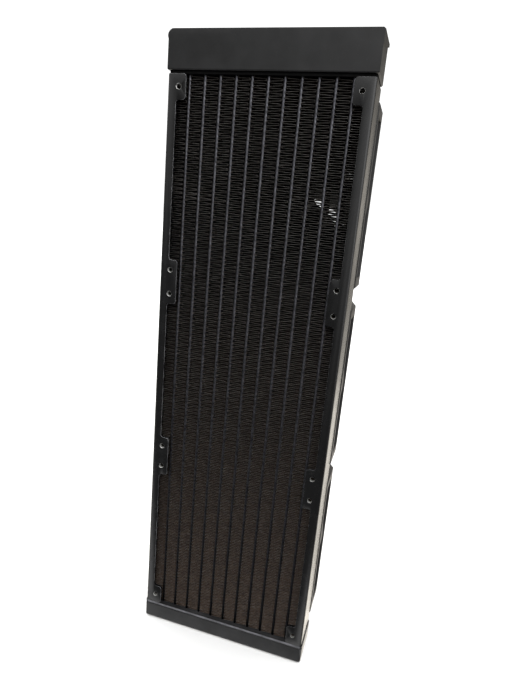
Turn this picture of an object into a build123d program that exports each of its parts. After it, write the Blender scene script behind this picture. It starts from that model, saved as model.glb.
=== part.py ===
from build123d import *
import math
import os

# A slim liquid-to-air cooler: a brazed tube-and-fin core between two tanks, held by two
# folded side channels, with three axial fans screwed to its back.
# Millimetres. +Z is up along the tubes, the finned face looks along -Y, the fans are at +Y.
# The origin is the centre of the whole cooler's footprint, at the underside of the lower tank.

# ---------------------------------------------------------------- driving sizes: the cooler
fan_count = 3
fan_pitch = 120.0              # one fan bay, along the cooler
radiator_depth = 27.0          # front face of the channels to their back face
core_end_margin = 0.5          # the fan bays reach this far past each end of the core
hole_to_channel_edge = 7.0     # from a screw hole to the outside of its side channel
tank_overhang = 0.6            # how far a tank's end face stands out past a side channel
upper_tank_height = 21.3       # above its header plate
lower_tank_height = 12.3       # below its header plate
tank_wall = 1.3
tank_edge_radius = 1.6
tank_lip_radius = 1.0          # upper tank, round its open lower edge
tank_corner_radius = 3.0       # upper tank, the upper corner under its roll
plain_corner_radius = 1.0      # upper tank, the other upper corner
header_thickness = 1.5
header_rim_height = 2.4        # upstanding rim inside the tank
seam_height = 1.2              # groove where a tank shell meets its header plate
seam_depth = 0.6
roll_radius = 3.3              # rolled upper corner of the upper tank, at the front
roll_back_radius = 1.5         # and at the back, where the roll runs out
roll_overhang = 0.8            # how far the roll and the lap stand out past the end faces
roll_drop = 0.1                # below the tank's top face
lap_root = 1.5                 # how far the lap reaches into the wall that it is folded onto
lap_front_out = 0.1            # how far the lap stands out at its front end
lap_front_height = 7.5
lap_back_height = 1.6
roll_edge_radius = 0.9
baffle_thickness = 1.5

# ---------------------------------------------------------------- driving sizes: the core
tube_count = 13
tube_thickness = 1.8
tube_wall = 0.35
fin_clearance = 0.5            # between the fins and the tips of the fan screws
fin_lead = 0.2                 # how far the fins stand out past the tubes, front and back
tube_projection = 2.2          # how far a tube reaches into a tank, past its header plate
fold_pitch = 2.54              # one full fold of a fin strip: two strands
fin_sheet = 0.15
braze_film = 0.05              # filler metal between the brazed pieces

# ---------------------------------------------------------------- driving sizes: side channels
channel_sheet = 1.8
flange_width = 5.7
channel_bend_radius = 1.5
channel_end_gap = 0.2          # between a channel's end and a header plate
tab_reach = 11.5               # channel's outside to the tab's inner edge
tab_corner_radius = 1.8
end_tab_height = 13.8
mid_tab_height = 27.5
screw_hole_radius = 1.5        # M3
pick_margin = 0.01             # for picking out corners by where they are

# ---------------------------------------------------------------- driving sizes: ports
port_spacing = 56.0
port_drill_radius = 5.9        # tapping size of a G1/4 thread
port_neck_radius = 7.8
port_collar_radius = 9.0
port_collar_height = 2.4
port_neck_length = 5.6
port_chamfer = 0.5

# ---------------------------------------------------------------- driving sizes: fans
fan_gap = 0.2                  # between neighbouring fans
fan_depth = 25.0
fan_hole_inset = 7.4           # from a fan's side to its screw holes
fan_hole_radius = 2.2
fan_corner_cut = 7.0
fan_flange = 3.6
fan_post = 13.0                # side of the solid corner posts
duct_inset = 2.4               # from a fan's side to its round duct
duct_wall = 1.6
duct_mouth = 1.6               # chamfer at the air inlet
strut_count = 4
strut_width = 3.2
strut_depth = 3.4
strut_lean = 24.0              # degrees off the radius
strut_turn = 45.0              # degrees, where the first strut stands
strut_root_depth = 9.5         # how far a strut reaches in under the motor base
motor_base_overhang = 0.5      # past the hub
motor_base_thickness = 2.5

# ---------------------------------------------------------------- driving sizes: rotor and motor
blade_count = 9
blade_thickness = 1.3
blade_edge_flat = 0.06         # half the flat left on a blade's rounded edge
blade_root_pitch = 44.0        # degrees from the plane of rotation
blade_tip_pitch = 27.0
blade_sweep = 34.0             # degrees between root and tip
blade_sweep_curve = 1.5        # how late along the blade the sweep comes in
blade_sections = 4
blade_root_chord = 18.0
blade_tip_chord = 41.0
tip_gap = 1.0
rotor_turn = 23.5              # degrees, where the blades stand at rest
hub_radius = 20.5
hub_wall = 1.2
hub_recess = 1.6               # from the fan's outer face back to the hub's face
hub_edge_gap = 1.0             # between the hub's open edge and the motor base
hub_edge_radius = 1.5
yoke_wall = 0.9
magnet_wall = 2.0
magnet_height = 10.0
air_gap = 0.5
shaft_radius = 1.5
shaft_end_gap = 1.0
shaft_chamfer = 0.3
running_clearance = 0.03
sleeve_radius = 4.0
sleeve_length = 11.0
bearing_tube_wall = 1.0
seat_clearance = 0.02          # a piece held in a plastic seat
board_thickness = 1.2
board_gap = 0.5
board_edge_gap = 3.3           # from the hub's inside to the board
stator_height = 5.0
pole_count = 4
pole_width = 5.0
pole_shoe = 2.0
stator_ring = 3.0
coil_wall = 1.6
coil_gap = 0.3                 # between a coil and the ring or the shoe beside it
rotor_gap = 0.6                # inside the rotor, over the magnet and under the stack

# ---------------------------------------------------------------- driving sizes: fan screws
screw_radius = 1.45
screw_end = 0.5                # past the back flange
screw_head_radius = 2.75
screw_head_height = 1.9
screw_head_round = 1.1
cross_width = 0.8
cross_length = 3.2
cross_depth = 1.0

# ---------------------------------------------------------------- worked out from them
fan_side = fan_pitch - fan_gap
fan_hole_pitch = fan_side - 2 * fan_hole_inset
duct_radius = fan_side / 2 - duct_inset
motor_base_radius = hub_radius + motor_base_overhang
hub_top = fan_depth - hub_recess
board_radius = hub_radius - hub_wall - board_edge_gap
screw_length = fan_depth + channel_sheet + screw_end
fin_recess = channel_sheet + screw_end + fin_clearance
fin_depth = radiator_depth - 2 * fin_recess
tube_depth = fin_depth - 2 * fin_lead
channel_width = fan_hole_pitch + 2 * hole_to_channel_edge
core_length = fan_count * fan_pitch - 2 * core_end_margin
total_depth = radiator_depth + fan_depth + screw_head_height
front_y = -total_depth / 2
back_y = front_y + radiator_depth
core_y = front_y + radiator_depth / 2
core_z0 = lower_tank_height + header_thickness
core_z1 = core_z0 + core_length
core_mid_z = (core_z0 + core_z1) / 2
lower_plate_z = core_z0 - header_thickness
upper_plate_z = core_z1 + header_thickness
upper_tank_top = upper_plate_z + upper_tank_height
tank_width = channel_width + 2 * tank_overhang
tube_row_width = channel_width - 2 * channel_sheet
header_rim_wall = tank_overhang + channel_sheet - tank_wall - 2 * braze_film
tube_pitch = (tube_row_width - tube_thickness) / (tube_count - 1)
fin_width = tube_pitch - tube_thickness - 2 * braze_film
fan_centres = [core_mid_z + (i - (fan_count - 1) / 2) * fan_pitch for i in range(fan_count)]


def block(x0, x1, y0, y1, z0, z1):
    """A box between three pairs of planes."""
    place = Pos((x0 + x1) / 2, (y0 + y1) / 2, (z0 + z1) / 2)
    return place * Box(x1 - x0, y1 - y0, z1 - z0)


def bar(radius, y0, y1, x=0.0, z=0.0):
    """A round bar along Y."""
    return Pos(x, (y0 + y1) / 2, z) * Rot(90, 0, 0) * Cylinder(radius, y1 - y0)


def ring(outer, inner, y0, y1, x=0.0, z=0.0):
    """A round tube along Y."""
    return bar(outer, y0, y1, x, z) - bar(inner, y0 - 1, y1 + 1, x, z)


def edges_along(shape, axis):
    return shape.edges().filter_by(axis)


def save(name, *solids):
    """Writes one named piece, or one group of identical pieces, to its own file."""
    shape = solids[0] if len(solids) == 1 else Compound(children=list(solids))
    export_step(shape, os.path.join("parts", name + ".step"))


# ---------------------------------------------------------------- tanks and header plates
def tank_block(z0, z1, inset=0.0):
    """A block with a tank's outline, or one that lies inside it all round."""
    half = tank_width / 2 - inset
    return block(-half, half, front_y + inset, back_y - inset, z0, z1)


def rolled_corner():
    """The rolled upper corner at the left end of the upper tank; it runs out towards the back."""
    sections = []
    for y, radius in ((front_y, roll_radius), (back_y, roll_back_radius)):
        x = -(tank_width / 2 + roll_overhang * radius / roll_radius - radius)
        plane = Plane(origin=(x, y, upper_tank_top - roll_drop - radius), z_dir=(0, 1, 0))
        sections.append(plane * Circle(radius))
    roll = loft(sections)
    return fillet(roll.faces().sort_by(Axis.Y)[0].edges(), roll_edge_radius)


def folded_lap():
    """The sheet's lap on the right end of the upper tank: it thickens and narrows towards the back."""
    front = (front_y + tank_edge_radius, lap_front_out, lap_front_height)
    back = (back_y - tank_edge_radius, roll_overhang, lap_back_height)
    sections = []
    for y, out, height in (front, back):
        x = tank_width / 2 + (out - lap_root) / 2
        z = upper_tank_top - roll_drop - height / 2
        plane = Plane(origin=(x, y, z), x_dir=(1, 0, 0), z_dir=(0, 1, 0))
        sections.append(plane * Rectangle(lap_root + out, height))
    return loft(sections)


def port_centres():
    z = (upper_plate_z + upper_tank_top) / 2
    return [(-port_spacing / 2, z), (port_spacing / 2, z)]


def upper_tank():
    body = tank_block(upper_plate_z, upper_tank_top)
    left = edges_along(body, Axis.Y).sort_by(Axis.Z)[-2:].sort_by(Axis.X)[0]
    body = fillet(left, tank_corner_radius)
    right = edges_along(body, Axis.Y).sort_by(Axis.X)[-2:].sort_by(Axis.Z)[-1]
    body = fillet(right, plain_corner_radius)
    for face in (body.faces().sort_by(Axis.Y)[0], body.faces().sort_by(Axis.Y)[-1]):
        body = fillet(face.edges().sort_by(Axis.Z)[1:], tank_lip_radius)
    body = fillet(body.faces().sort_by(Axis.Z)[0].edges(), tank_lip_radius)
    body += rolled_corner() + folded_lap()
    body -= tank_block(upper_plate_z, upper_tank_top - tank_wall, tank_wall)
    for x, z in port_centres():
        body -= bar(port_neck_radius + braze_film, back_y - tank_wall - 1, back_y + 1, x, z)
    return body


def lower_tank():
    body = tank_block(0, lower_plate_z)
    rounded = edges_along(body, Axis.Z) + body.faces().sort_by(Axis.Z)[0].edges()
    body = fillet(rounded, tank_edge_radius)
    body -= tank_block(tank_wall, lower_plate_z, tank_wall)
    groove_z = lower_plate_z - seam_height
    groove = tank_block(groove_z, lower_plate_z) - tank_block(groove_z, lower_plate_z, seam_depth)
    return body - groove


def tube_section(thickness, depth):
    """A flat tube's rounded outline, on the XY plane."""
    return SlotOverall(depth, thickness, rotation=90)


def tube_places():
    first = -(tube_count - 1) / 2 * tube_pitch
    return [first + i * tube_pitch for i in range(tube_count)]


def header_plate(plate, z0, rim_z0):
    """Adds to a plate the rim that stands inside its tank, and cuts the slots for the tubes."""
    wall = tank_wall + braze_film
    rim_z1 = rim_z0 + header_rim_height
    plate += tank_block(rim_z0, rim_z1, wall) - tank_block(rim_z0, rim_z1, wall + header_rim_wall)
    slot = tube_section(tube_thickness + 2 * braze_film, tube_depth + 2 * braze_film)
    for x in tube_places():
        plate -= Pos(x, core_y, z0 - 1) * extrude(slot, header_thickness + 2)
    return plate


def upper_header_plate():
    """Its edge lies back behind the upper tank's lip."""
    plate = tank_block(core_z1, upper_plate_z, tank_wall + braze_film)
    return header_plate(plate, core_z1, upper_plate_z)


def lower_header_plate():
    """Its edge comes out to the lower tank's faces."""
    plate = fillet(edges_along(tank_block(lower_plate_z, core_z0), Axis.Z), tank_edge_radius)
    return header_plate(plate, lower_plate_z, lower_plate_z - header_rim_height)


def baffle():
    """The wall inside the upper tank that sends the liquid down one half of the tubes."""
    x = tube_pitch / 2
    z0 = upper_plate_z + tube_projection + header_rim_height
    wall = tank_wall + braze_film
    half = baffle_thickness / 2
    top = upper_tank_top - wall
    foot_wall = wall + header_rim_wall + braze_film
    body = block(x - half, x + half, front_y + wall, back_y - wall, z0, top)
    foot_z = upper_plate_z + braze_film
    return body + block(x - half, x + half, front_y + foot_wall, back_y - foot_wall, foot_z, z0)


def port_bush(x, z):
    """A round threaded bush brazed into the back of the upper tank."""
    inner_y = back_y - tank_wall - (port_neck_length - tank_wall)
    collar = bar(port_collar_radius, back_y, back_y + port_collar_height, x, z)
    collar = chamfer(collar.faces().sort_by(Axis.Y)[-1].edges(), port_chamfer)
    body = collar + bar(port_neck_radius, inner_y, back_y, x, z)
    return body - bar(port_drill_radius, inner_y - 1, back_y + port_collar_height + 1, x, z)


# ---------------------------------------------------------------- core
def flat_tube():
    outer = tube_section(tube_thickness, tube_depth)
    inner = tube_section(tube_thickness - 2 * tube_wall, tube_depth - 2 * tube_wall)
    z0 = lower_plate_z - tube_projection
    z1 = upper_plate_z + tube_projection
    return Pos(0, core_y, z0) * extrude(outer - inner, z1 - z0)


def fold_line(side):
    """One face of a folded strip: its corners in (x, z), from the bottom up."""
    rise = fold_pitch / 2
    strands = 2 * int(core_length / fold_pitch)
    reach = fin_sheet / 2 / math.sin(math.atan2(rise, fin_width))
    start = -strands * rise / 2
    points = []
    for i in range(strands + 1):
        out = 1 if i % 2 else -1
        points.append((out * (fin_width / 2 - reach) + side * reach, start + i * rise))
    return points


def fin_strip():
    """A folded strip that fills the gap between two tubes, centred on the core."""
    corners = fold_line(1) + fold_line(-1)[::-1]
    sheet = Plane.XZ * make_face(Polyline(*corners, close=True))
    return Pos(0, core_y + fin_depth / 2, core_mid_z) * extrude(sheet, fin_depth)


# ---------------------------------------------------------------- side channels
def hole_heights():
    half = fan_hole_pitch / 2
    return [z + side * half for z in fan_centres for side in (-1, 1)]


def tab_spans():
    """Where the tabs start and end along the channel: one at each end and one at each joint of two fans."""
    z0 = core_z0 + channel_end_gap
    z1 = core_z1 - channel_end_gap
    joints = [(a + b) / 2 for a, b in zip(fan_centres, fan_centres[1:])]
    half = mid_tab_height / 2
    return [(z0, z0 + end_tab_height)] + [(j - half, j + half) for j in joints] + [(z1 - end_tab_height, z1)]


def side_channel(side):
    """A folded sheet channel. Its two flanges widen into tabs that carry the screw holes."""
    outer = channel_width / 2
    z0 = core_z0 + channel_end_gap
    z1 = core_z1 - channel_end_gap
    inner = outer - flange_width
    flange = Pos((outer + inner) / 2, (z0 + z1) / 2) * Rectangle(flange_width, z1 - z0)
    for low, high in tab_spans():
        middle = outer - tab_reach / 2
        flange += Pos(middle, (low + high) / 2) * Rectangle(tab_reach, high - low)
    rounded = [v for v in flange.vertices() if v.X < inner + pick_margin and z0 < v.Y < z1]
    rounded += [v for v in flange.vertices() if v.X < inner - pick_margin and not z0 < v.Y < z1]
    flange = fillet(rounded, tab_corner_radius)
    for z in hole_heights():
        flange -= Pos(fan_hole_pitch / 2, z) * Circle(screw_hole_radius)
    plate = extrude(Plane.XZ * flange, channel_sheet)
    body = block(outer - channel_sheet, outer, front_y, back_y, z0, z1)
    body += Pos(0, front_y + channel_sheet, 0) * plate
    body += Pos(0, back_y, 0) * plate
    corners = [e for e in edges_along(body, Axis.Z) if e.center().X > outer - pick_margin]
    body = fillet(corners, channel_bend_radius)
    return body if side > 0 else mirror(body, Plane.YZ)


# ---------------------------------------------------------------- fans
def fan_frame():
    """A square plastic housing: two flanges, four corner posts, a round duct and a motor base."""
    y0, y1 = back_y, back_y + fan_depth
    half = fan_side / 2
    body = block(-half, half, y0, y1, -half, half)
    body = chamfer(edges_along(body, Axis.Y), fan_corner_cut)
    waist = block(-half - 1, half + 1, y0 + fan_flange, y1 - fan_flange, -half - 1, half + 1)
    waist -= bar(duct_radius + duct_wall, y0, y1)
    for sx in (-1, 1):
        for sz in (-1, 1):
            corner = half - fan_post / 2
            waist -= Pos(sx * corner, (y0 + y1) / 2, sz * corner) * Box(fan_post, fan_depth, fan_post)
    body -= waist
    duct = bar(duct_radius, y0 - 1, y1 + 1)
    mouth = Pos(0, y1 - duct_mouth / 2, 0) * Rot(-90, 0, 0) * Cone(duct_radius, duct_radius + duct_mouth, duct_mouth)
    body -= duct + mouth
    for sx in (-1, 1):
        for sz in (-1, 1):
            hole = fan_hole_pitch / 2
            body -= bar(fan_hole_radius, y0 - 1, y1 + 1, sx * hole, sz * hole)
    body += bar(motor_base_radius, y0, y0 + motor_base_thickness)
    strut_length = duct_radius + duct_wall / 2
    for i in range(strut_count):
        arm = block(0, strut_length, y0, y0 + strut_depth, -strut_width / 2, strut_width / 2)
        arm = Pos(motor_base_radius - strut_root_depth, 0, 0) * Rot(0, strut_lean, 0) * arm
        arm &= bar(duct_radius + duct_wall / 2, y0, y0 + strut_depth)
        body += Rot(0, i * 360 / strut_count + strut_turn, 0) * arm
    seat_radius = sleeve_radius + seat_clearance
    tube_top = sleeve_y()[1]
    body += bar(seat_radius + bearing_tube_wall, y0 + motor_base_thickness, tube_top)
    return body - bar(seat_radius, y0 + motor_base_thickness / 2, tube_top + 1)


def sleeve_y():
    start = back_y + motor_base_thickness / 2 + shaft_end_gap + board_gap
    return start, start + sleeve_length


def fan_bearing():
    y0, y1 = sleeve_y()
    return ring(sleeve_radius, shaft_radius + running_clearance, y0, y1)


def fan_board():
    """The ring-shaped circuit board on the motor base."""
    y0 = back_y + strut_depth + board_gap
    inner = sleeve_radius + seat_clearance + bearing_tube_wall + board_gap
    return ring(board_radius, inner, y0, y0 + board_thickness)


def magnet_inner_radius():
    return hub_radius - hub_wall - braze_film - yoke_wall - braze_film - magnet_wall


def hub_bottom_y():
    return back_y + strut_depth + hub_edge_gap


def stator_y():
    start = back_y + strut_depth + board_gap + board_thickness + coil_wall + rotor_gap
    return start, start + stator_height


def fan_stator():
    """The wound stack: one core with its poles and one coil on each pole."""
    y0, y1 = stator_y()
    outer = magnet_inner_radius() - air_gap
    hole = sleeve_radius + 2 * seat_clearance + bearing_tube_wall
    core = bar(hole + stator_ring, y0, y1)
    shoes = ring(outer, outer - pole_shoe, y0, y1)
    slots = []
    for i in range(pole_count):
        turn = Rot(0, i * 360 / pole_count, 0)
        core += turn * block(hole, outer - pole_shoe / 2, y0, y1, -pole_width / 2, pole_width / 2)
        slot = block(outer - 2 * pole_shoe, outer + 1, y0 - 1, y1 + 1, -pole_shoe / 2, pole_shoe / 2)
        slots.append(Rot(0, (i + 0.5) * 360 / pole_count, 0) * slot)
    for slot in slots:
        shoes -= slot
    core += shoes
    core -= bar(hole, y0 - 1, y1 + 1)
    x0 = hole + stator_ring + coil_gap
    x1 = outer - pole_shoe - coil_gap
    half = pole_width / 2
    gap = braze_film
    coil = block(x0, x1, y0 - coil_wall, y1 + coil_wall, -half - coil_wall, half + coil_wall)
    coil -= block(x0 - 1, x1 + 1, y0 - gap, y1 + gap, -half - gap, half + gap)
    coils = [Rot(0, i * 360 / pole_count, 0) * coil for i in range(pole_count)]
    return [core] + coils


def blade_section(radius, chord, pitch, turn):
    """One flat slice of a blade, square to the radius, turned about the fan's axis."""
    middle = (hub_bottom_y() + back_y + hub_top) / 2
    slice_plane = Plane(origin=(radius, middle, 0), x_dir=(0, 0, 1), z_dir=(1, 0, 0))
    edge_radius = blade_thickness / 2 - blade_edge_flat
    outline = Rot(0, 0, pitch) * RectangleRounded(chord, blade_thickness, edge_radius)
    return Rot(0, turn, 0) * (slice_plane * outline)


def blade():
    sections = []
    inner = hub_radius - hub_wall
    outer = duct_radius + duct_wall
    for i in range(blade_sections):
        share = i / (blade_sections - 1)
        radius = inner + (outer - inner) * share
        chord = blade_root_chord + (blade_tip_chord - blade_root_chord) * share
        pitch = blade_root_pitch + (blade_tip_pitch - blade_root_pitch) * share
        turn = blade_sweep * share ** blade_sweep_curve
        sections.append(blade_section(radius, chord, pitch, turn))
    return loft(sections)


def fan_rotor():
    """The hub cup with its swept blades."""
    low, high = hub_bottom_y(), back_y + hub_top
    tip = duct_radius - tip_gap
    cup = bar(hub_radius, low, high)
    cup = fillet(cup.faces().sort_by(Axis.Y)[-1].edges(), hub_edge_radius)
    blades = [Rot(0, i * 360 / blade_count, 0) * blade() for i in range(blade_count)]
    limit = ring(tip, hub_radius - hub_wall / 2, low, high)
    body = cup
    for one in blades:
        body += one & limit
    body -= bar(hub_radius - hub_wall, low - 1, high - hub_wall)
    boss_y = high - hub_wall - yoke_wall - 3 * braze_film
    body += bar(shaft_radius * 2, boss_y - 2 * hub_wall, high - hub_wall)
    body -= bar(shaft_radius + seat_clearance, low - 1, shaft_y()[1])
    return Rot(0, rotor_turn, 0) * body


def shaft_y():
    return back_y + motor_base_thickness / 2 + shaft_end_gap, back_y + hub_top - hub_wall / 2


def fan_shaft():
    y0, y1 = shaft_y()
    shaft = bar(shaft_radius, y0, y1)
    return chamfer(shaft.edges().filter_by(GeomType.CIRCLE), shaft_chamfer)


def fan_yoke():
    """The steel cup pressed into the hub."""
    outer = hub_radius - hub_wall - braze_film
    top = back_y + hub_top - hub_wall - braze_film
    low = hub_bottom_y() + hub_wall
    cup = bar(outer, low, top) - bar(outer - yoke_wall, low - 1, top - yoke_wall)
    return cup - bar(shaft_radius * 2 + braze_film, low, top + 1)


def fan_magnet():
    outer = magnet_inner_radius() + magnet_wall
    high = back_y + hub_top - hub_wall - yoke_wall - rotor_gap
    return ring(outer, magnet_inner_radius(), high - magnet_height, high)


# ---------------------------------------------------------------- screws
def fan_screw(x, z):
    """A pan-head cross-recess screw through a fan corner into the back flange."""
    seat = back_y + fan_depth
    head = bar(screw_head_radius, seat, seat + screw_head_height, x, z)
    head = fillet(head.faces().sort_by(Axis.Y)[-1].edges(), screw_head_round)
    body = head + bar(screw_radius, seat - screw_length, seat, x, z)
    recess_y = seat + screw_head_height - cross_depth
    for wide, tall in ((cross_length, cross_width), (cross_width, cross_length)):
        body -= block(x - wide / 2, x + wide / 2, recess_y, seat + screw_head_height + 1,
                      z - tall / 2, z + tall / 2)
    return body


# ---------------------------------------------------------------- the whole cooler
def main():
    os.makedirs("parts", exist_ok=True)
    save("upper_tank", upper_tank())
    save("lower_tank", lower_tank())
    save("upper_header_plate", upper_header_plate())
    save("lower_header_plate", lower_header_plate())
    save("tank_baffle", baffle())
    for name, (x, z) in zip(("inlet_port_bush", "outlet_port_bush"), port_centres()):
        save(name, port_bush(x, z))
    places = tube_places()
    tube = flat_tube()
    for number, x in enumerate(places, 1):
        save(f"flat_tube_{number:02d}", Pos(x, 0, 0) * tube)
    strip = fin_strip()
    for number, (a, b) in enumerate(zip(places, places[1:]), 1):
        save(f"fin_strip_{number:02d}", Pos((a + b) / 2, 0, 0) * strip)
    save("left_side_channel", side_channel(-1))
    save("right_side_channel", side_channel(1))
    fan = {
        "frame": [fan_frame()],
        "rotor": [fan_rotor()],
        "yoke": [fan_yoke()],
        "magnet": [fan_magnet()],
        "shaft": [fan_shaft()],
        "bearing": [fan_bearing()],
        "stator": fan_stator(),
        "board": [fan_board()],
    }
    for number, z in enumerate(fan_centres, 1):
        for name, pieces in fan.items():
            save(f"fan_{number}_{name}", *[Pos(0, 0, z) * piece for piece in pieces])
    half = fan_hole_pitch / 2
    save("fan_screws", *[fan_screw(side * half, z) for z in hole_heights() for side in (-1, 1)])


main()
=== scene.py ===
import math

import bmesh
import bpy
from mathutils import Matrix, Vector


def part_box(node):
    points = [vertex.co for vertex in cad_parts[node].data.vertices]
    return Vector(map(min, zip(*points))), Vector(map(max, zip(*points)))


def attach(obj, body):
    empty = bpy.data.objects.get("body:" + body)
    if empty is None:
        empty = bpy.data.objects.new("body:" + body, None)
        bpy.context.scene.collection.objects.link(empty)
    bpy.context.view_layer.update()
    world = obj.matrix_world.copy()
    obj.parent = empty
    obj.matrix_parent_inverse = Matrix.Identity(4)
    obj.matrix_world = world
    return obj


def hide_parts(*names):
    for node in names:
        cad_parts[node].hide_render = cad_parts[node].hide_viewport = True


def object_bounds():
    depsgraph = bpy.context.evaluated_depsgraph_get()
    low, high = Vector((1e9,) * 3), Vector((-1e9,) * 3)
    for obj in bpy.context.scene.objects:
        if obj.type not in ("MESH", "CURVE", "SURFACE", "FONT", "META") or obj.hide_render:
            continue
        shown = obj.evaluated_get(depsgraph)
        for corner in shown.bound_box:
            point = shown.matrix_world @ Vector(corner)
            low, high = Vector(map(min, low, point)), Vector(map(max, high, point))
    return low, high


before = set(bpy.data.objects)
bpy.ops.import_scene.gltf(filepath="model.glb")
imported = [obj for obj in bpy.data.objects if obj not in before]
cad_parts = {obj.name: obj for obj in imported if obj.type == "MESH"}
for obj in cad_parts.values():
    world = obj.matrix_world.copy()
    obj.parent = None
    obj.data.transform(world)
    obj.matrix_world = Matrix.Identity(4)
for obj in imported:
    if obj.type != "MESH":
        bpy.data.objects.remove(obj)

# A slim liquid cooler in black enamel with three black fans on its back.
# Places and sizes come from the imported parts, in metres. Z is up and the front faces -Y.

cad_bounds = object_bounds()
MM = 0.001
STILL = "cooler"                  # the body that does not move
FANS = (1, 2, 3)
TUBES = 13
HOLE_PITCH = 105 * MM             # between the screw holes of one fan bay
HOLE_RADIUS = 1.5 * MM
SHARP = math.radians(35)          # an edge that turns by more than this is sharp
FLAT = math.radians(0.6)          # faces that turn by less than this are one flat face
frame_boxes = [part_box(f"fan_{fan}_frame") for fan in FANS]
hole_heights = [(low.z + high.z) / 2 + side * HOLE_PITCH / 2
                for low, high in frame_boxes for side in (-1, 1)]


# ------------------------------------------------------------------ small tools
def colour(code):
    """An sRGB hex colour as the linear colour that shaders take."""
    parts = [int(code[i:i + 2], 16) / 255 for i in (1, 3, 5)]
    return [p / 12.92 if p <= 0.04045 else ((p + 0.055) / 1.055) ** 2.4 for p in parts] + [1.0]


def add(tree, kind, inputs=None, stops=(), **settings):
    """Adds a shader node. An input is a value, or a socket that is linked to it. Stops are the
    two places and hex colours of a colour ramp."""
    made = tree.nodes.new("ShaderNode" + kind)
    for key, value in settings.items():
        setattr(made, key, value)
    for key, value in (inputs or {}).items():
        if isinstance(value, bpy.types.NodeSocket):
            tree.links.new(value, made.inputs[key])
        else:
            made.inputs[key].default_value = value
    if stops:
        for element, (place, code) in zip(made.color_ramp.elements, stops):
            element.position = place
            element.color = colour(code)
    return made


def drifting(tree, place, lump_mm, start, end, detail=3.0, between=(0.3, 0.7)):
    """Drifts from one hex colour or value to another over lumps about lump_mm across. Between
    are the heights of the noise where the drift starts and ends."""
    lumps = add(tree, "TexNoise", {"Vector": place, "Scale": 1 / (lump_mm * MM),
                                   "Detail": detail, "Roughness": 0.55}).outputs["Fac"]
    if isinstance(start, str):
        stops = list(zip(between, (start, end)))
        return add(tree, "ValToRGB", {"Fac": lumps}, stops).outputs["Color"]
    return add(tree, "MapRange", {"Value": lumps, "From Min": between[0], "From Max": between[1],
                                  "To Min": start, "To Max": end}).outputs["Result"]


def relief(tree, place, lump_mm, depth_mm, strength, detail=3.0, over=None):
    """Shallow bumps about lump_mm across, on the bare surface or over another relief."""
    lumps = add(tree, "TexNoise", {"Vector": place, "Scale": 1 / (lump_mm * MM),
                                   "Detail": detail, "Roughness": 0.55}).outputs["Fac"]
    inputs = {"Height": lumps, "Distance": depth_mm * MM, "Strength": strength}
    if over is not None:
        inputs["Normal"] = over
    return add(tree, "Bump", inputs).outputs["Normal"]


def by_height(tree, place, low_mm, high_mm, lower, upper):
    """Fades from one colour to another between two heights above the base."""
    up = add(tree, "SeparateXYZ", {"Vector": place}).outputs["Z"]
    share = add(tree, "MapRange", {"Value": up, "From Min": low_mm * MM,
                                   "From Max": high_mm * MM}).outputs["Result"]
    inputs = {"Factor": share, "A": lower, "B": upper}
    return add(tree, "Mix", inputs, data_type="RGBA").outputs["Result"]


def start_material(name):
    made = bpy.data.materials.new(name)
    made.use_nodes = True
    tree = made.node_tree
    tree.nodes.clear()
    place = add(tree, "TexCoord").outputs["Object"]
    return made, tree, place


def close_material(tree, inputs):
    shader = add(tree, "BsdfPrincipled", inputs)
    add(tree, "OutputMaterial", {"Surface": shader.outputs["BSDF"]})


# ------------------------------------------------------------------ materials
def enamel(name, low, high, roughness, peel_mm, peel_depth_mm=0.02, shine=0.5):
    """Baked black enamel on aluminium sheet. Satin or matt by its roughness, faintly cloudy,
    with a fine orange peel that breaks up reflections, a slow wave in the sheet and a few
    specks of dust."""
    made, tree, place = start_material(name)
    clean = drifting(tree, place, 14.0, low, high)
    dust = drifting(tree, place, 0.5, 0.0, 1.0, detail=1.0, between=(0.74, 0.82))
    base = add(tree, "Mix", {"Factor": dust, "A": clean, "B": colour("#5a5856")}, data_type="RGBA")
    rough = drifting(tree, place, 5.0, roughness - 0.05, roughness + 0.07)
    peel = relief(tree, place, peel_mm, peel_depth_mm, 0.5, detail=2.0)
    wave = relief(tree, place, 22.0, 0.25, 0.35, detail=1.0, over=peel)
    close_material(tree, {"Base Color": base.outputs["Result"], "Roughness": rough, "IOR": 1.5,
                          "Specular IOR Level": shine, "Normal": wave})
    return made


def edge_highlight_enamel(name, low, high, start, end):
    """Enamel on a rounded edge, dark in patches and matt grey in others: the grey is a painted
    highlight, so that edges draw a light line."""
    made, tree, place = start_material(name)
    highlight_share = drifting(tree, place, 5.0, 0.0, 1.0, between=(start, end))
    base = add(tree, "ValToRGB", {"Fac": highlight_share}, [(0.0, low), (1.0, high)]).outputs["Color"]
    rough = drifting(tree, place, 0.8, 0.32, 0.5)
    normal = relief(tree, place, 0.5, 0.02, 0.5)
    close_material(tree, {"Base Color": base, "Roughness": rough, "IOR": 1.5, "Normal": normal})
    return made


def foil_enamel():
    """Thin black dip coat on folded aluminium foil. Near black with a brown cast where the coat is
    thin, and too rough to glint. Lighter and browner towards the base: painted light for the strands'
    tops, seen lit from above there."""
    made, tree, place = start_material("dip_coated_fin_foil")
    clean = drifting(tree, place, 3.0, "#17110d", "#2a2019")
    lit_from_above = drifting(tree, place, 3.0, "#2f241d", "#4a3b30")
    base = by_height(tree, place, 15.0, 170.0, lit_from_above, clean)
    rough = drifting(tree, place, 1.0, 0.5, 0.7)
    normal = relief(tree, place, 0.4, 0.03, 0.6)
    close_material(tree, {"Base Color": base, "Roughness": rough, "IOR": 1.5,
                          "Specular IOR Level": 0.15, "Normal": normal})
    return made


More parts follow.
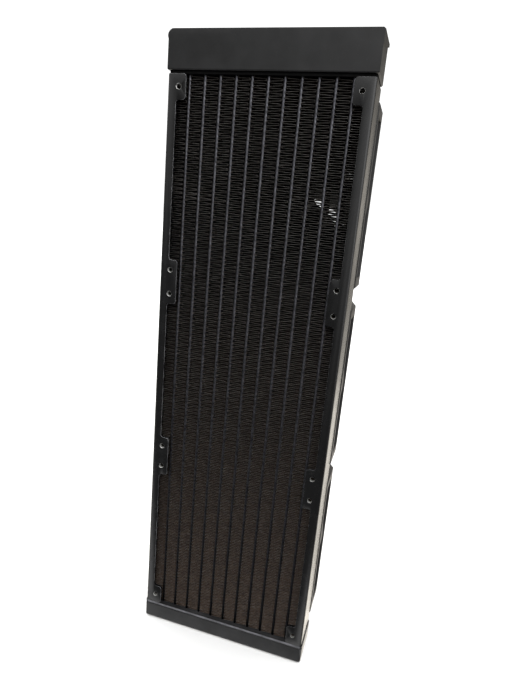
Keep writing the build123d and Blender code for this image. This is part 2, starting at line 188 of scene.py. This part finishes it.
def foil_edge_enamel():
    """The cut edge of the fin foil: matt grey hair lines, a painted highlight for the light that the
    cut edges catch.
    """
    made, tree, place = start_material("lit_from_above_cut_foil_edge")
    base = drifting(tree, place, 2.5, "#55524e", "#8b8782", between=(0.35, 0.65))
    rough = drifting(tree, place, 0.6, 0.5, 0.7)
    close_material(tree, {"Base Color": base, "Roughness": rough, "IOR": 1.5})
    return made


def tube_enamel():
    """Thin black dip coat on drawn flat tube, mottled in small lumps. Higher up it turns a cool grey:
    a painted reflection, so that the rounded nose carries a line of light."""
    made, tree, place = start_material("dip_coated_flat_tube")
    painted_reflection_grey = drifting(tree, place, 1.3, "#39393d", "#6d6d72")
    coated = drifting(tree, place, 1.3, "#0f1012", "#1f2023")
    base = by_height(tree, place, 20.0, 230.0, coated, painted_reflection_grey)
    rough = drifting(tree, place, 1.2, 0.26, 0.42)
    normal = relief(tree, place, 0.8, 0.02, 0.4)
    close_material(tree, {"Base Color": base, "Metallic": 1.0, "Roughness": rough,
                          "Normal": normal})
    return made


def bare_metal(name, low, high, roughness, grain_mm, stretch=(1.0, 1.0, 1.0)):
    """Bare or thinly plated metal with the fine lines or grain that its making left."""
    made, tree, place = start_material(name)
    lines = add(tree, "Mapping", {"Vector": place, "Scale": stretch}).outputs["Vector"]
    base = drifting(tree, lines, grain_mm, low, high)
    rough = drifting(tree, lines, grain_mm, roughness - 0.06, roughness + 0.08)
    normal = relief(tree, lines, grain_mm, 0.01, 0.4)
    close_material(tree, {"Base Color": base, "Metallic": 1.0, "Roughness": rough,
                          "Normal": normal})
    return made


def moulded_plastic(name, low, high, roughness, texture_mm, depth_mm):
    """Injection-moulded glass-filled plastic with the fine spark-eroded texture of its mould
    and slightly uneven gloss where it flowed."""
    made, tree, place = start_material(name)
    base = drifting(tree, place, 18.0, low, high)
    rough = drifting(tree, place, 7.0, roughness - 0.04, roughness + 0.06)
    normal = relief(tree, place, texture_mm, depth_mm, 0.6, detail=2.0)
    close_material(tree, {"Base Color": base, "Roughness": rough, "IOR": 1.53, "Normal": normal})
    return made


# ------------------------------------------------------------------ shaping
def merged(name):
    """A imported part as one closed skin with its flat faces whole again."""
    same_place = 0.002 * MM
    sliver = 0.01 * MM
    shape = bmesh.new()
    shape.from_mesh(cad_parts[name].data)
    bmesh.ops.remove_doubles(shape, verts=shape.verts, dist=same_place)
    bmesh.ops.dissolve_degenerate(shape, dist=sliver, edges=shape.edges)
    bmesh.ops.dissolve_limit(shape, angle_limit=FLAT, verts=shape.verts, edges=shape.edges)
    return shape


def bevel(shape, edges, width_mm, segments=2, coat_slot=-1):
    """Rounds edges. The new faces take the coat in coat_slot, or at -1 their neighbours' coat."""
    bmesh.ops.bevel(shape, geom=edges, offset=width_mm * MM, offset_type="OFFSET",
                    segments=segments, profile=0.5, affect="EDGES", clamp_overlap=True,
                    material=coat_slot)


def piece(name, shape, coat, stands_for, body=STILL):
    """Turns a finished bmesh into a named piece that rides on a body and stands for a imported
    part."""
    mesh = bpy.data.meshes.new(name)
    shape.to_mesh(mesh)
    shape.free()
    mesh.materials.append(coat)
    mesh.shade_smooth()
    mesh.set_sharp_from_angle(angle=SHARP)
    made = bpy.data.objects.new(name, mesh)
    bpy.context.scene.collection.objects.link(made)
    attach(made, body)
    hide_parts(stands_for)
    return made


def refined(name, coat, edge_mm=None, body=STILL):
    """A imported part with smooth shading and, where a width is given, softened edges."""
    shape = merged(name)
    if edge_mm:
        sharp = [e for e in shape.edges if e.is_manifold and e.calc_face_angle(0) > SHARP]
        bevel(shape, sharp, edge_mm)
    piece(name + "_fine", shape, coat, name, body)


def coat_node(name, coat):
    """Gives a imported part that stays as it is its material."""
    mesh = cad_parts[name].data
    mesh.materials.clear()
    mesh.materials.append(coat)


# ------------------------------------------------------------------ camera, light and floor
def make_camera():
    """A short lens above the cooler's middle and to its right, looking down a little."""
    right_forward_up = Vector((90.3, -289.0, 295.7)) * MM     # from the middle of the front's foot
    turned, lowered, rolled = (math.radians(angle) for angle in (15.16, 14.34, 5.42))
    view = bpy.data.cameras.new("camera")
    view.lens = 25.89
    view.sensor_width = 36.0
    view.clip_start = 0.01
    view.clip_end = 100.0
    made = bpy.data.objects.new("camera", view)
    bpy.context.scene.collection.objects.link(made)
    foot = cad_bounds[0]
    place = Matrix.Translation(right_forward_up + Vector((0, foot.y, foot.z)))
    tip = Matrix.Rotation(math.radians(90) - lowered, 4, "X")
    made.matrix_world = place @ Matrix.Rotation(turned, 4, "Z") @ tip @ Matrix.Rotation(rolled, 4, "Z")
    bpy.context.scene.camera = made


def make_world(level, overhead, below, front, backdrop):
    """Soft white light: level at the horizon, overhead at the top, below under the horizon, and
    near the horizon only the share front of it from ahead. The camera itself sees an even white
    backdrop. The ranges are parts of a ray's direction, whose axes run from -1 to 1."""
    world = bpy.data.worlds.new("light_tent")
    world.use_nodes = True
    tree = world.node_tree
    sky = tree.nodes["Background"]
    sky.inputs["Color"].default_value = colour("#ffffff")
    ray = add(tree, "TexCoord").outputs["Generated"]
    axes = add(tree, "SeparateXYZ", {"Vector": ray}).outputs
    above = add(tree, "MapRange", {"Value": axes["Z"], "To Min": level, "To Max": overhead})
    under = add(tree, "MapRange", {"Value": axes["Z"], "From Min": -0.25, "From Max": 0.0,
                                   "To Min": below - level, "To Max": 0.0})
    even = add(tree, "Math", {0: above.outputs["Result"], 1: under.outputs["Result"]},
               operation="ADD")
    ahead = add(tree, "MapRange", {"Value": axes["Y"], "From Min": -0.5, "From Max": 0.1,
                                   "To Min": 1.0, "To Max": 0.0})
    near_horizon = add(tree, "MapRange", {"Value": axes["Z"], "From Min": 0.2, "From Max": 0.8,
                                          "To Min": 1.0 - front, "To Max": 0.0})
    lost = add(tree, "Math", {0: ahead.outputs["Result"], 1: near_horizon.outputs["Result"]},
               operation="MULTIPLY")
    kept = add(tree, "Math", {0: 1.0, 1: lost.outputs["Value"]}, operation="SUBTRACT")
    light = add(tree, "Math", {0: even.outputs["Value"], 1: kept.outputs["Value"]},
                operation="MULTIPLY")
    seen = add(tree, "LightPath").outputs["Is Camera Ray"]
    total = add(tree, "Mix", {"Factor": seen, "A": light.outputs["Value"], "B": backdrop})
    tree.links.new(total.outputs["Result"], sky.inputs["Strength"])
    bpy.context.scene.world = world


def stage_plane(name, size, coat):
    """A flat square that belongs to the studio and not to the cooler."""
    shape = bmesh.new()
    bmesh.ops.create_grid(shape, x_segments=1, y_segments=1, size=size / 2)
    mesh = bpy.data.meshes.new(name)
    shape.to_mesh(mesh)
    shape.free()
    mesh.materials.append(coat)
    made = bpy.data.objects.new(name, mesh)
    bpy.context.scene.collection.objects.link(made)
    return made


def make_floor(size=80.0, gap_mm=0.3):
    """A plain white floor just under the lower tank. It throws no light back on the cooler."""
    coat, tree, place = start_material("white_floor")
    base = drifting(tree, place, 900.0, "#fafafa", "#fcfcfb")
    close_material(tree, {"Base Color": base, "Roughness": 0.9})
    floor = stage_plane("floor", size, coat)
    floor.location.z = cad_bounds[0].z - gap_mm * MM
    floor.visible_glossy = False
    floor.visible_diffuse = False


def reflected_wall(name, y, profile, tint, lean=0.0, size=8.0):
    """A wall that only glossy surfaces see. profile is its brightness at heights in metres from
    the floor, and lean lowers the pattern by that much for every metre to the right."""
    coat, tree, place = start_material(name)
    axes = add(tree, "SeparateXYZ", {"Vector": place}).outputs
    leant = add(tree, "Math", {0: axes["X"], 1: lean}, operation="MULTIPLY").outputs["Value"]
    up = add(tree, "Math", {0: axes["Y"], 1: leant}, operation="ADD").outputs["Value"]
    total = profile[0][1]
    for (low, start), (high, end) in zip(profile, profile[1:]):
        change = add(tree, "MapRange", {"Value": up, "From Min": low, "From Max": high,
                                        "To Max": end - start}).outputs["Result"]
        total = add(tree, "Math", {0: total, 1: change}, operation="ADD").outputs["Value"]
    glow = add(tree, "Emission", {"Color": colour(tint), "Strength": total})
    add(tree, "OutputMaterial", {"Surface": glow.outputs["Emission"]})
    wall = stage_plane(name, size, coat)
    wall.location.y = y
    wall.rotation_euler.x = math.radians(90)
    for ray in ("camera", "diffuse", "shadow", "transmission", "volume_scatter"):
        setattr(wall, "visible_" + ray, False)


def make_walls():
    """The front wall is dim at the cooler's foot and brighter upwards, with a second light low
    on its left. The back wall is slightly warm, bright below the floor and dark above."""
    front = [(-2.1, 1.3), (-1.25, 0.18), (-0.3, 0.2), (0.0, 0.25), (0.75, 0.92), (1.0, 1.0),
             (1.8, 2.6)]
    back = [(-1.2, 2.4), (-0.9, 1.3), (-0.35, 1.6), (-0.15, 0.8), (0.1, 0.5), (0.4, 0.7),
            (0.8, 0.2)]
    reflected_wall("front_studio_wall", -1.3, front, "#ffffff", lean=0.55)
    reflected_wall("back_studio_wall", 1.3, back, "#fff8ec")


# ------------------------------------------------------------------ side channels and plate
def make_channel(side, coat, thread, edge_highlight):
    """A side channel whose rounded edges take a grey coat, a painted highlight. Its tapped holes are
    bare metal and countersunk.
    """
    thread_slot, edge_highlight_slot = 1, 2
    margin = 0.1 * MM
    flush = 0.05 * MM
    name = side + "_side_channel"
    shape = merged(name)
    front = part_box(name)[0].y
    centre_x = sum(v.co.x for v in shape.verts) / len(shape.verts)
    hole_x = math.copysign(HOLE_PITCH / 2, centre_x)

    def at_hole(place):
        away = min(Vector((place.x - hole_x, place.z - z)).length for z in hole_heights)
        return away < HOLE_RADIUS + margin

    mouths = []
    rim = []
    for edge in shape.edges:
        if at_hole((edge.verts[0].co + edge.verts[1].co) / 2):
            if all(abs(v.co.y - front) < flush for v in edge.verts):
                mouths.append(edge)
        elif edge.is_manifold and edge.calc_face_angle(0) > SHARP:
            rim.append(edge)
    for face in shape.faces:
        if at_hole(face.calc_center_median()):
            face.material_index = thread_slot
    bevel(shape, rim, 0.35, coat_slot=edge_highlight_slot)
    bevel(shape, [e for e in mouths if e.is_valid], 0.55, segments=1, coat_slot=thread_slot)
    made = piece(side + "_channel_fine", shape, coat, name)
    made.data.materials.append(thread)
    made.data.materials.append(edge_highlight)


def make_lower_plate(coat, rim_highlight):
    """The lower header plate. Its outer rim takes a grey coat, a painted highlight for the light line
    that the rim catches from above.
    """
    rim_highlight_slot = 1
    flush = 0.02 * MM
    name = "lower_header_plate"
    shape = merged(name)
    low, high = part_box(name)
    for face in shape.faces:
        middle = face.calc_center_median()
        depth = min(middle.y - low.y, middle.x - low.x, high.x - middle.x)
        if depth < flush:
            face.material_index = rim_highlight_slot
    made = piece(name + "_fine", shape, coat, name)
    made.data.materials.append(rim_highlight)


# ------------------------------------------------------------------ fins
FOLD_PITCH = 2.54 * MM            # one fold, up and back
TURN_RADIUS = FOLD_PITCH / 5.5
TURN_STEPS = 4
WAVES = 4                         # ripples from front to back
RIPPLE = 0.7 * MM
CLIMB = 1.1 * MM                  # rise from front to back
FOIL = 0.1 * MM


def fold(width):
    """One fold of a fin strip, up and back: two rising strands and the two tight round turns
    between them."""
    shape = bmesh.new()
    reach = width / 2 - TURN_RADIUS
    rise = FOLD_PITCH / 2 - 2 * TURN_RADIUS
    tip = shape.verts.new((-reach, 0, 0))
    for side in (1, -1):
        out = bmesh.ops.extrude_vert_indiv(shape, verts=[tip])["verts"][0]
        out.co.x = side * reach
        out.co.z += rise
        centre = (out.co.x, 0, out.co.z + TURN_RADIUS)
        turned = bmesh.ops.spin(shape, geom=[out], cent=centre, axis=(0, side, 0), dvec=(0, 0, 0),
                                angle=-math.pi, steps=TURN_STEPS, use_duplicate=False)
        tip = [g for g in turned["geom_last"] if isinstance(g, bmesh.types.BMVert)][0]
    return shape


def pull_back(shape, depth):
    """Draws the fold back through the core, rippling up and down so that air has to weave, and
    climbing a little towards the fans."""
    edges = shape.edges[:]
    steps = 2 * WAVES
    for step in range(steps):
        rise = RIPPLE if step % 2 else -RIPPLE
        if step in (0, steps - 1):
            rise /= 2
        drawn = bmesh.ops.extrude_edge_only(shape, edges=edges)["geom"]
        moved = [g for g in drawn if isinstance(g, bmesh.types.BMVert)]
        edges = [g for g in drawn if isinstance(g, bmesh.types.BMEdge)
                 and all(v in moved for v in g.verts)]
        bmesh.ops.translate(shape, verts=moved, vec=(0, depth / steps, rise + CLIMB / steps))


def make_fins(coat, edge_coat):
    """Folded strips. Each fills the gap between two tubes."""
    edge_slot = 1
    foot_gap = 0.35 * MM
    weld = 0.01 * MM
    for number in range(1, TUBES):
        name = f"fin_strip_{number:02d}"
        low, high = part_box(name)
        shape = fold(high.x - low.x)
        pull_back(shape, high.y - low.y)
        start = ((low.x + high.x) / 2, low.y, low.z + foot_gap)
        bmesh.ops.translate(shape, verts=shape.verts, vec=start)
        made = piece(f"folded_fins_{number:02d}", shape, coat, name)
        made.data.materials.append(edge_coat)
        rows = made.modifiers.new("folds", "ARRAY")
        rows.use_relative_offset = False
        rows.use_constant_offset = True
        rows.constant_offset_displace = (0, 0, FOLD_PITCH)
        rows.count = int((high.z - low.z) / FOLD_PITCH)
        rows.use_merge_vertices = True
        rows.merge_threshold = weld
        sheet = made.modifiers.new("foil", "SOLIDIFY")
        sheet.thickness = FOIL
        sheet.offset = 0
        sheet.material_offset_rim = edge_slot


# ------------------------------------------------------------------ build
make_camera()
make_world(level=1.1, overhead=2.5, below=0.1, front=0.3, backdrop=1.2)
make_floor()
make_walls()

# The numbers after a coat's two colours are its roughness and the size of its peel, grain or
# texture in millimetres.
tank_coat = enamel("baked_satin_enamel_tank", "#0b0b0c", "#1e1e1f", 0.34, 0.45)
# The lower tank and lower plate take a lighter copy of the tank enamel: painted light for the lower
# tank, seen lit from above.
lit_lower_tank_coat = enamel("lit_from_above_satin_enamel_tank", "#1c1c1d", "#323233", 0.36, 0.45)
# The upper header plate is near black: painted shade for the dark gap under the upper tank.
shaded_header_coat = enamel("painted_shade_header_enamel", "#040404", "#080808", 0.7, 0.45, shine=0.1)
channel_coat = enamel("baked_satin_enamel_channel", "#0b0b0c", "#101011", 0.24, 0.35,
                      peel_depth_mm=0.006)
# A grey coat for rounded edges: a painted highlight.
edge_highlight_coat = edge_highlight_enamel("edge_highlight_enamel_edge", "#222224", "#b2b2b5", start=0.3, end=0.58)
# A grey coat for the lower plate's rim: a painted highlight.
rim_highlight_coat = edge_highlight_enamel("painted_highlight_plate_rim", "#5a5a5e", "#8c8c91", start=0.3, end=0.6)
fin_coat = foil_enamel()
foil_edge = foil_edge_enamel()
tube_coat = tube_enamel()
frame_plastic = moulded_plastic("moulded_fan_frame_plastic", "#141415", "#1b1b1c", 0.46, 0.35,
                                depth_mm=0.03)
rotor_plastic = moulded_plastic("moulded_rotor_plastic", "#17181a", "#1f2022", 0.36, 0.6,
                                depth_mm=0.012)
board_laminate = moulded_plastic("glass_epoxy_board", "#14361f", "#1e4a2b", 0.4, 0.5,
                                 depth_mm=0.01)
screw_zinc = bare_metal("black_zinc_screws", "#1b1b1c", "#2b2b2c", 0.38, 0.3)
thread_metal = bare_metal("cut_aluminium_thread", "#dedcd8", "#fafaf8", 0.42, 0.15,
                          stretch=(1.0, 6.0, 1.0))
port_brass = bare_metal("plated_brass_port", "#2a2a2b", "#3a3a3b", 0.34, 0.5)
yoke_steel = bare_metal("drawn_steel_yoke", "#9a9a9c", "#b9b9ba", 0.35, 0.8)
shaft_steel = bare_metal("ground_steel_shaft", "#b4b4b6", "#d2d2d3", 0.18, 0.2,
                         stretch=(1.0, 8.0, 1.0))
bearing_bronze = bare_metal("sintered_bronze_bearing", "#7a5c35", "#a07d4c", 0.5, 0.25)
stator_steel = bare_metal("laminated_steel_and_copper", "#8a5a38", "#b07a4d", 0.38, 0.4,
                          stretch=(1.0, 5.0, 1.0))
magnet_ferrite = bare_metal("bonded_ferrite_magnet", "#2c2b2b", "#3a3939", 0.6, 0.3)
mill_aluminium = bare_metal("mill_finish_baffle", "#a9abac", "#c4c6c7", 0.3, 0.5,
                            stretch=(1.0, 1.0, 0.1))

refined("upper_tank", tank_coat)
refined("lower_tank", lit_lower_tank_coat)
refined("upper_header_plate", shaded_header_coat)
make_lower_plate(lit_lower_tank_coat, rim_highlight_coat)
for side in ("left", "right"):
    make_channel(side, channel_coat, thread_metal, edge_highlight_coat)
for number in range(1, TUBES + 1):
    refined(f"flat_tube_{number:02d}", tube_coat)
make_fins(fin_coat, foil_edge)
refined("inlet_port_bush", port_brass, edge_mm=0.2)
refined("outlet_port_bush", port_brass, edge_mm=0.2)
refined("fan_screws", screw_zinc, edge_mm=0.12)
coat_node("tank_baffle", mill_aluminium)
for fan in FANS:
    refined(f"fan_{fan}_frame", frame_plastic, edge_mm=0.5)
    refined(f"fan_{fan}_rotor", rotor_plastic, edge_mm=0.25, body=f"rotor_{fan}")
    coat_node(f"fan_{fan}_yoke", yoke_steel)
    coat_node(f"fan_{fan}_magnet", magnet_ferrite)
    coat_node(f"fan_{fan}_shaft", shaft_steel)
    coat_node(f"fan_{fan}_bearing", bearing_bronze)
    coat_node(f"fan_{fan}_stator", stator_steel)
    coat_node(f"fan_{fan}_board", board_laminate)

bpy.context.scene.view_settings.view_transform = "Standard"
